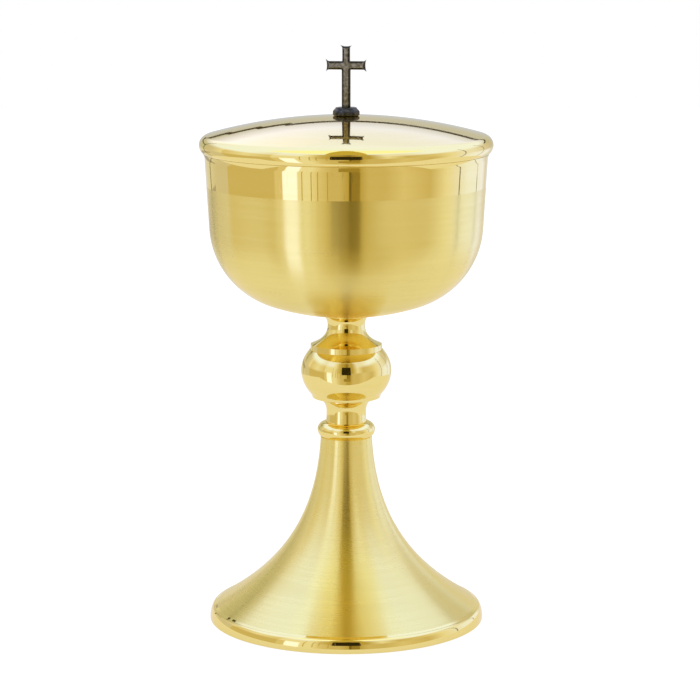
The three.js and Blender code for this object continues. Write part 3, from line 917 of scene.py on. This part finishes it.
locating_inside = locating_high.x - locating_wall
locating_profile = [
    (locating_inside, locating_low.z + locating_ease),
    (locating_inside + locating_ease, locating_low.z),
    (locating_high.x - locating_lead, locating_low.z),
    (locating_high.x, locating_low.z + locating_lead_rise),
    (locating_high.x, locating_high.z),
    (locating_inside, locating_high.z),
]
locating_ring = turned("locating_ring", locating_profile, lid_turns)
fit(locating_ring, lid_gilding, "polished_gilt", "lid", "lid_locating_ring")

# The knob
# A small eight-sided base of cast white metal, antiqued dark, in two steps. It is clamped to the
# lid by the stud and carries the cross.

knob_low, knob_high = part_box("finial_knob")
finial_turn = -6
knob_radius = 6.45 * mm
knob_neck = knob_radius - 1.35 * mm


def antiqued_metal(name, dark, light, roughness):
    """Cast white metal, stained dark and rubbed back a little where a cloth reaches."""
    material, tree, shader = blank_metal(name, 0.85)
    marks = effect(tree, handling, Smudges_per_Metre=700.0)
    place = add_node(tree, "ShaderNodeTexCoord").outputs["Object"]
    casting = add_node(tree, "ShaderNodeTexNoise")
    feed(tree, casting.inputs["Vector"], place)
    casting.inputs["Scale"].default_value = 2600.0
    casting.inputs["Detail"].default_value = 4.0
    shader["Specular Tint"].default_value = (1.0, 0.86, 0.60, 1.0)
    feed(tree, shader["Base Color"], shaded(tree, marks["Smudge"], dark, light))
    feed(tree, shader["Roughness"], ranged(tree, marks["Smudge"], 0.0, 1.0, roughness, roughness + 0.15))
    feed(tree, shader["Normal"], raised(tree, casting.outputs[0], 0.02 * mm))
    return material


def spun_finial(name, profile, sides):
    """A small faceted piece round the axis, turned with the cross to its side."""
    turn = math.radians(finial_turn)
    points = [(radius * math.cos(turn), radius * math.sin(turn), height) for radius, height in profile]
    piece = drawn(name, points + points[:1])
    revolved(sides)
    return piece


def softened(piece, width, over=30):
    """Rounds the edges of a piece that are sharper than an angle by a small width."""
    pick(piece)
    rounding = piece.modifiers.new("rounding", "BEVEL")
    rounding.width = width
    rounding.segments = 2
    rounding.limit_method = "ANGLE"
    rounding.angle_limit = math.radians(over)
    bpy.ops.object.modifier_apply(modifier="rounding")
    bpy.ops.object.shade_smooth_by_angle(angle=smooth_under)


knob_profile = [
    (stud_bore, knob_low.z),
    (knob_radius - 0.5 * mm, knob_low.z),
    (knob_radius, knob_low.z + 0.6 * mm),
    (knob_radius, knob_low.z + 2 * mm),
    (knob_radius - 0.4 * mm, knob_low.z + 2.7 * mm),
    (knob_radius - 1.15 * mm, knob_high.z - 0.65 * mm),
    (knob_neck, knob_high.z - 0.5 * mm),
    (knob_neck, knob_high.z - 0.15 * mm),
    (knob_neck - 0.25 * mm, knob_high.z),
    (stud_bore, knob_high.z),
]
octagon_knob = spun_finial("octagon_knob", knob_profile, 8)
softened(octagon_knob, 0.18 * mm)
knob_metal = antiqued_metal("antiqued_knob", (0.030, 0.026, 0.016), (0.085, 0.076, 0.052), 0.3)
fit(octagon_knob, knob_metal, "dark_pewter", "lid", "finial_knob")

# The cross
# Cast white metal with splayed and hollowed ends, bevelled all round, antiqued dark with its flat
# faces rubbed lighter. It stands on the knob, turned a little to one side.

cross_low, cross_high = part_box("cross")
cross_height = cross_high.z - cross_low.z
cross_span = 19.3 * mm
cross_arm_height = 19.8 * mm
cross_depth = 1.5 * mm
cross_bevel = 0.92 * mm
cross_bevel_depth = 0.6 * mm


def bent(start, pull, end):
    """Points on a line that is pulled towards one handle, without its start."""
    return flowing(start, pull, end, steps=6)[1:]


def cross_outline(inset):
    """The outline of the cross from its foot, drawn in by an inset all round but at the foot."""
    shaft = 2 * mm - inset
    arm = 1.95 * mm - inset
    head = 1.75 * mm - inset
    reach = cross_span / 2 - inset
    top = cross_height - inset
    fillet = 0.5 * mm + inset
    tip = 1.5 * mm
    hollow = 0.6 * mm
    spread = 0.9 * mm
    under, over = cross_arm_height - arm, cross_arm_height + arm
    right = [(shaft, 0), (shaft, under - fillet)]
    right += bent(right[-1], (shaft, under), (shaft + fillet, under))
    right += [(reach - tip, under)]
    right += bent(right[-1], (reach - tip / 2, under), (reach, cross_arm_height - arm - spread))
    right += bent(right[-1], (reach - hollow, under), (reach - hollow, cross_arm_height))
    right += bent(right[-1], (reach - hollow, over), (reach, cross_arm_height + arm + spread))
    right += bent(right[-1], (reach - tip / 2, over), (reach - tip, over))
    right += [(head + fillet, over)]
    right += bent(right[-1], (head, over), (head, over + fillet))
    right += [(head, top - tip)]
    right += bent(right[-1], (head, top - tip / 2), (head + spread, top))
    right += bent(right[-1], (head, top - hollow), (0, top - hollow))
    left = [(-across, up) for across, up in right[-2::-1]]
    return right + left


def cross_line(name, inset, depth):
    """One closed outline of the cross, standing at a depth and turned to its side."""
    turn = math.radians(finial_turn)
    points = []
    for across, up in cross_outline(inset):
        east = across * math.cos(turn) - depth * math.sin(turn)
        north = across * math.sin(turn) + depth * math.cos(turn)
        points.append((east, north, cross_low.z + up))
    piece = drawn(name, points + points[:1])
    weld(merge_reach)
    bpy.ops.object.mode_set(mode="OBJECT")
    return piece


def bridged(piece, count):
    """Skins the space between each outline of a piece and the next, and closes both ends."""
    bpy.ops.object.mode_set(mode="EDIT")
    bpy.ops.mesh.select_mode(type="EDGE")
    layers = len(piece.data.vertices) // count
    for first in range(layers - 1):
        bpy.ops.mesh.select_all(action="DESELECT")
        mesh = bmesh.from_edit_mesh(piece.data)
        mesh.verts.ensure_lookup_table()
        for edge in mesh.edges:
            layer = edge.verts[0].index // count
            same = layer == edge.verts[1].index // count
            edge.select = same and layer in (first, first + 1)
        bmesh.update_edit_mesh(piece.data)
        bpy.ops.mesh.bridge_edge_loops()
    bpy.ops.mesh.select_all(action="DESELECT")
    bpy.ops.mesh.select_non_manifold()
    bpy.ops.mesh.edge_face_add()
    face_outwards()


edge_depth = cross_depth - cross_bevel_depth
layers = [
    cross_line("standing_cross", cross_bevel, -cross_depth),
    cross_line("front_edge", 0, -edge_depth),
    cross_line("back_edge", 0, edge_depth),
    cross_line("back_face", cross_bevel, cross_depth),
]
standing_cross = joined("standing_cross", *layers)
bridged(standing_cross, len(cross_outline(0)))
softened(standing_cross, 0.1 * mm, over=20)
cross_metal = antiqued_metal("antiqued_cross", (0.022, 0.018, 0.010), (0.075, 0.064, 0.040), 0.32)
fit(standing_cross, cross_metal, "dark_pewter", "lid", "cross")
cross_facing = Vector((math.sin(math.radians(finial_turn)), -math.cos(math.radians(finial_turn)), 0))
cross_face_metal = antiqued_metal("rubbed_cross", (0.24, 0.215, 0.15), (0.46, 0.42, 0.32), 0.38)
refinish(standing_cross, cross_face_metal, lambda centre, normal: abs(normal.dot(cross_facing)) > 0.97)

# The stud
# A steel stud up through the lid and the knob, its thin end pinned into the foot of the cross.

stud_low, stud_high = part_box("finial_stud")
stud_radius = 1.5 * mm
stud_pin_radius = 0.8 * mm
stud_pin_length = 5 * mm
stud_thread_length = 6 * mm
stud_thread_depth = 0.25 * mm
stud_thread_pitch = 0.5 * mm
stud_turns = 48

stud_root = stud_radius - stud_thread_depth
stud_shoulder = stud_high.z - stud_pin_length
stud_thread_end = stud_low.z + stud_thread_length
stud_profile = [
    (0, stud_low.z),
    (stud_root - 0.25 * mm, stud_low.z),
    (stud_root, stud_low.z + 0.25 * mm),
    (stud_root, stud_thread_end),
    (stud_radius, stud_thread_end + 0.3 * mm),
    (stud_radius, stud_shoulder),
    (stud_pin_radius, stud_shoulder),
    (stud_pin_radius, stud_high.z - 0.2 * mm),
    (stud_pin_radius - 0.2 * mm, stud_high.z),
    (0, stud_high.z),
]
stud_core = turned("stud_core", stud_profile, stud_turns)
tooth_size = (stud_radius, stud_thread_depth, stud_thread_pitch)
stud_thread = thread("stud_thread", *tooth_size, stud_low.z + 0.2 * mm, stud_thread_end)
lid_stud = joined("lid_stud", stud_core, stud_thread)
fit(lid_stud, steel, "steel", "lid", "finial_stud")

# What clamps the stud
# A thin brass washer and a small brass nut under the lid, hidden until the lid is lifted off.

lid_washer_low, lid_washer_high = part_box("lid_washer")
lid_nut_low, lid_nut_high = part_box("lid_nut")
lid_nut_flats = 5.5 * mm
lid_nut_bore = 1.55 * mm

stud_washer = flat_ring("stud_washer", lid_washer_low, lid_washer_high, stud_bore, 0.12 * mm)
fit(stud_washer, brass, "plain_brass", "lid", "lid_washer")
stud_nut = hexagon_nut("stud_nut", lid_nut_low, lid_nut_high, lid_nut_flats, lid_nut_bore)
fit(stud_nut, brass, "plain_brass", "lid", "lid_nut")

# The studio
# A white table in a light tent: pale cards all round that only the metal sees, with the dim room
# and the camera's dark opening in front, and a white ground behind.

tent_radius = 0.55
tent_height = 0.8
table_edge = 0.178
floor_lift = 0.3 * mm
card_turn = 4
card_merge_reach = 0.01 * mm

# Heights on a hanging sheet, each with the tone of its post that it takes, or 0 for the crown
sheet_rows = ((0, 1), (0.16, 1), (0.21, 2), (0.36, 2), (0.47, 3), (0.62, 3), (0.70, 0), (tent_height, 0))


def glowing(name, colour):
    """A card's own light, in one colour or in the tints of a shaded sheet."""
    material = bpy.data.materials.new(name)
    material.use_nodes = True
    tree = material.node_tree
    tree.nodes.clear()
    glow = add_node(tree, "ShaderNodeEmission")
    if colour is None:
        tint = add_node(tree, "ShaderNodeVertexColor", layer_name="tint")
        feed(tree, glow.inputs["Color"], tint.outputs["Color"])
    else:
        glow.inputs["Color"].default_value = (*colour, 1.0)
    feed(tree, add_node(tree, "ShaderNodeOutputMaterial").inputs["Surface"], glow.outputs[0])
    return material


def card(name, start, end, section, colour=None):
    """A card swept along a section between two bearings, in degrees to the right of the camera."""
    bearing = math.radians(start - 90)
    edge = [(radius * math.cos(bearing), radius * math.sin(bearing), height) for radius, height in section]
    piece = drawn(name, edge)
    bpy.ops.mesh.select_all(action="SELECT")
    steps = max(2, int((end - start) / card_turn))
    bpy.ops.mesh.spin(steps=steps, angle=math.radians(start - end), center=(0, 0, 0), axis=(0, 0, 1))
    weld(card_merge_reach)
    bpy.ops.object.mode_set(mode="OBJECT")
    piece.data.materials.append(glowing(name, colour))
    piece.visible_camera = False
    piece.visible_diffuse = False
    return piece


def wall(name, start, end, low, high, colour, inwards=0.005):
    """An upright card of one colour, a little inside the tent's wall."""
    radius = tent_radius - inwards
    card(name, start, end, [(radius, low), (radius, high)], colour)


def share_between(start, end, spot):
    """How far round a spot lies from one bearing to another, from 0 to 1."""
    bearing = math.degrees(math.atan2(spot.x, -spot.y))
    turns = round((bearing - (start + end) / 2) / 360)
    return min(max((bearing - 360 * turns - start) / (end - start), 0), 1)


def run_in(spot):
    """Draws a spot on the floor in to the straight front edge of the table."""
    facing = max(-spot.y / math.hypot(spot.x, spot.y), 0.01)
    reach = min(table_edge / facing, tent_radius - mm)
    spot.xy = spot.xy.normalized() * reach


def hanging(name, first, last):
    """A sheet between two posts of the tent and over the floor, toned softly from one to the other."""
    start, end = first[0], last[0]
    section = [(tent_radius * 0.9, floor_lift)] + [(tent_radius, level) for level, row in sheet_rows]
    piece = card(name, start, end, section)
    tint = piece.data.color_attributes.new("tint", "FLOAT_COLOR", "POINT")
    for corner, value in zip(piece.data.vertices, tint.data):
        share = share_between(start, end, corner.co)
        if math.hypot(corner.co.x, corner.co.y) < tent_radius * 0.95:
            run_in(corner.co)
        row = min(sheet_rows, key=lambda level_row: abs(level_row[0] - corner.co.z))[1]
        left, right = (first[row], last[row]) if row else (crown, crown)
        value.color = (*(a + (b - a) * share for a, b in zip(left, right)), 1.0)


# Tones as linear colours, from the darkest up
black = (0.03, 0.025, 0.012)
seam = (0.07, 0.06, 0.04)
soot = (0.18, 0.14, 0.05)
faint_seam = (0.22, 0.20, 0.18)
brown = (0.27, 0.21, 0.07)
bark = (0.33, 0.26, 0.09)
# The painted shade of the dim floor in front of the camera
floor_shade = (0.38, 0.30, 0.10)
dim = (0.46, 0.37, 0.11)
umber = (0.54, 0.45, 0.20)
slate = (0.48, 0.48, 0.66)
ochre = (0.61, 0.52, 0.14)
tan = (0.67, 0.61, 0.50)
grey = (0.60, 0.66, 0.78)
stone = (0.70, 0.72, 1.00)
sand = (0.78, 0.74, 0.74)
silver = (0.77, 0.83, 1.04)
ivory = (0.91, 0.96, 1.28)
pale = (0.92, 1.03, 1.90)
cool = (0.97, 1.18, 2.70)
linen = (1.12, 1.32, 1.70)
crown = (1.00, 1.28, 3.05)
sunlit = (1.22, 1.42, 3.20)

# The posts of the tent, by bearing, each with its tones low, halfway and high
posts = (
    (-158, silver, grey, sunlit),
    (-140, silver, grey, cool),
    (-124, stone, stone, crown),
    (-107, stone, ivory, crown),
    (-106, tan, sand, crown),
    (-80, tan, ivory, crown),
    (-57, tan, sand, pale),
    (-56, sand, ivory, cool),
    (-50, sand, ivory, cool),
    (-49.5, sunlit, ivory, cool),
    (-38, sunlit, ivory, cool),
    (-37, ivory, ivory, cool),
    (-28, ivory, ivory, ivory),
    (-20, sand, tan, tan),
    (-12, tan, umber, umber),
    (-5, tan, umber, dim),
    (2, umber, dim, brown),
    (10, umber, umber, umber),
    (17, tan, umber, umber),
    (30, tan, ivory, pale),
    (45, sand, tan, pale),
    (68, tan, sand, crown),
    (85, ivory, ivory, crown),
    (98, pale, pale, crown),
    (112, cool, pale, crown),
    (140, cool, stone, crown),
    (150, silver, grey, cool),
    (180, silver, grey, cool),
    (202, silver, grey, sunlit),
)
for number, (first, last) in enumerate(zip(posts, posts[1:])):
    hanging(f"tent_sheet_{number}", first, last)
card("front_ceiling", -80, 80, [(0, tent_height), (tent_radius, tent_height)], linen)
card("back_ceiling", 80, 280, [(0, tent_height), (tent_radius, tent_height)], crown)

# On the camera's side: its black opening, its stand, a dark card of painted shade on the floor in front of
# it, and the dim ceiling
stand_wall = tent_radius - 0.005
stand_lift = 0.6 * mm
lane_lift = 0.9 * mm
stand_section = [(0.36, stand_lift), (stand_wall, stand_lift), (stand_wall, 0.14)]
lane_section = [(0.29, lane_lift), (tent_radius - 0.02, lane_lift)]
dim_section = [(0.05, 0.79), (0.53, 0.79), (0.53, 0.63)]
wall("camera_opening", -11.5, 11.5, 0.128, 0.42, black, 0.02)
card("camera_stand", 2.4, 10.5, stand_section, bark)
# Painted shade: a dark card on the floor, seen only in the metal, for the dim floor in front of the camera
card("camera_shade_lane", -6, 11, lane_section, floor_shade)
wall("camera_stand_leg", 2.2, 4, 0, 0.13, soot, 0.01)
card("dim_ceiling", -18, 18, dim_section, ochre)

# Dark lines where the tent's sheets meet, by name, bearings and heights
seams = (
    ("back_line", 140, 187, 0.378, 0.400),
    ("back_line_turn", 186, 190, 0.364, 0.386),
    ("back_line_fall", 189, 193, 0.348, 0.370),
    ("back_line_slope", 192, 197, 0.330, 0.354),
    ("back_line_left", 196, 202, 0.312, 0.336),
    ("far_left_line", -158, -138, 0.302, 0.322),
    ("left_line", -140, -138.6, 0, 0.50),
    ("right_line", 99.5, 100.6, 0, 0.50),
)
for name, start, end, low, high in seams:
    wall(name, start, end, low, high, seam)
wall("far_right_line", 127.5, 128.5, 0, 0.50, faint_seam)
wall("far_left_panel", -158, -128, 0.092, 0.135, slate, 0.003)

# Soft folds in the sheets to the left of the camera
fold_reach = 0.4
for bearing in (-33.8, -26.5, -21.5, -14):
    wall(f"fold_{-bearing:.0f}", bearing - fold_reach, bearing + fold_reach, 0.03, 0.36, umber)

# The table: its size, and how it looks to the camera, in the metal and to soft light
table_size = 6
table_drop = 0.2 * mm
table_paint = (0.30, 0.30, 0.30, 1.0)
table_bounce = (0.8, 0.79, 0.77, 1.0)
table_in_metal = (0.98, 1.06, 1.62)
table_glow = 0.62
table_camera_glow = 0.22


def table_white():
    """White table: white to the camera, a shade less in the metal, with a soft shadow on it."""
    material = bpy.data.materials.new("table_white")
    material.use_nodes = True
    tree = material.node_tree
    tree.nodes.clear()
    path = add_node(tree, "ShaderNodeLightPath").outputs
    paint = add_node(tree, "ShaderNodeBsdfDiffuse")
    paint.inputs["Color"].default_value = table_paint
    seen = add_node(tree, "ShaderNodeEmission")
    feed(tree, seen.inputs["Color"], shaded(tree, path["Is Camera Ray"], table_in_metal, (1.0, 1.0, 1.0)))
    to_camera = maths(tree, "MULTIPLY", path["Is Camera Ray"], table_camera_glow)
    feed(tree, seen.inputs["Strength"], maths(tree, "ADD", to_camera, table_glow))
    bright = add_node(tree, "ShaderNodeAddShader")
    feed(tree, bright.inputs[0], paint.outputs[0])
    feed(tree, bright.inputs[1], seen.outputs[0])
    plain = add_node(tree, "ShaderNodeBsdfDiffuse")
    plain.inputs["Color"].default_value = table_bounce
    mirrored = maths(tree, "MAXIMUM", path["Is Glossy Ray"], path["Is Transmission Ray"])
    viewed = maths(tree, "MAXIMUM", path["Is Camera Ray"], mirrored)
    table = add_node(tree, "ShaderNodeMixShader")
    for socket, value in zip(table.inputs, (viewed, plain.outputs[0], bright.outputs[0])):
        feed(tree, socket, value)
    feed(tree, add_node(tree, "ShaderNodeOutputMaterial").inputs["Surface"], table.outputs[0])
    return material


bpy.ops.object.select_all(action="DESELECT")
bpy.ops.mesh.primitive_plane_add(size=table_size, location=(0, 0, -table_drop))
table = bpy.context.object
table.name = "white_table"
bpy.ops.object.transform_apply(location=True, rotation=True, scale=True)
table.data.materials.append(table_white())

world = bpy.data.worlds.new("white_studio")
bpy.context.scene.world = world
world.use_nodes = True
sky = world.node_tree.nodes["Background"].inputs
sky["Color"].default_value = (1, 1, 1, 1)
sky["Strength"].default_value = 1.0

# The camera
# At the photograph's place: about 1.24 m away, looking down about ten degrees.

camera_distance = 1.241
camera_tilt = math.radians(10.08)
camera_lens = 132.43
camera_film = 36
camera_reach = 20
aim = Vector((0.0018, 0, 0.1321))

bpy.ops.object.camera_add()
camera = bpy.context.object
camera.name = "studio_camera"
camera.location = aim + camera_distance * Vector((0, -math.cos(camera_tilt), math.sin(camera_tilt)))
camera.rotation_euler = (math.pi / 2 - camera_tilt, 0, 0)
camera.data.lens = camera_lens
camera.data.sensor_width = camera_film
camera.data.clip_end = camera_reach
bpy.context.scene.camera = camera
bpy.context.scene.view_settings.view_transform = "Standard"
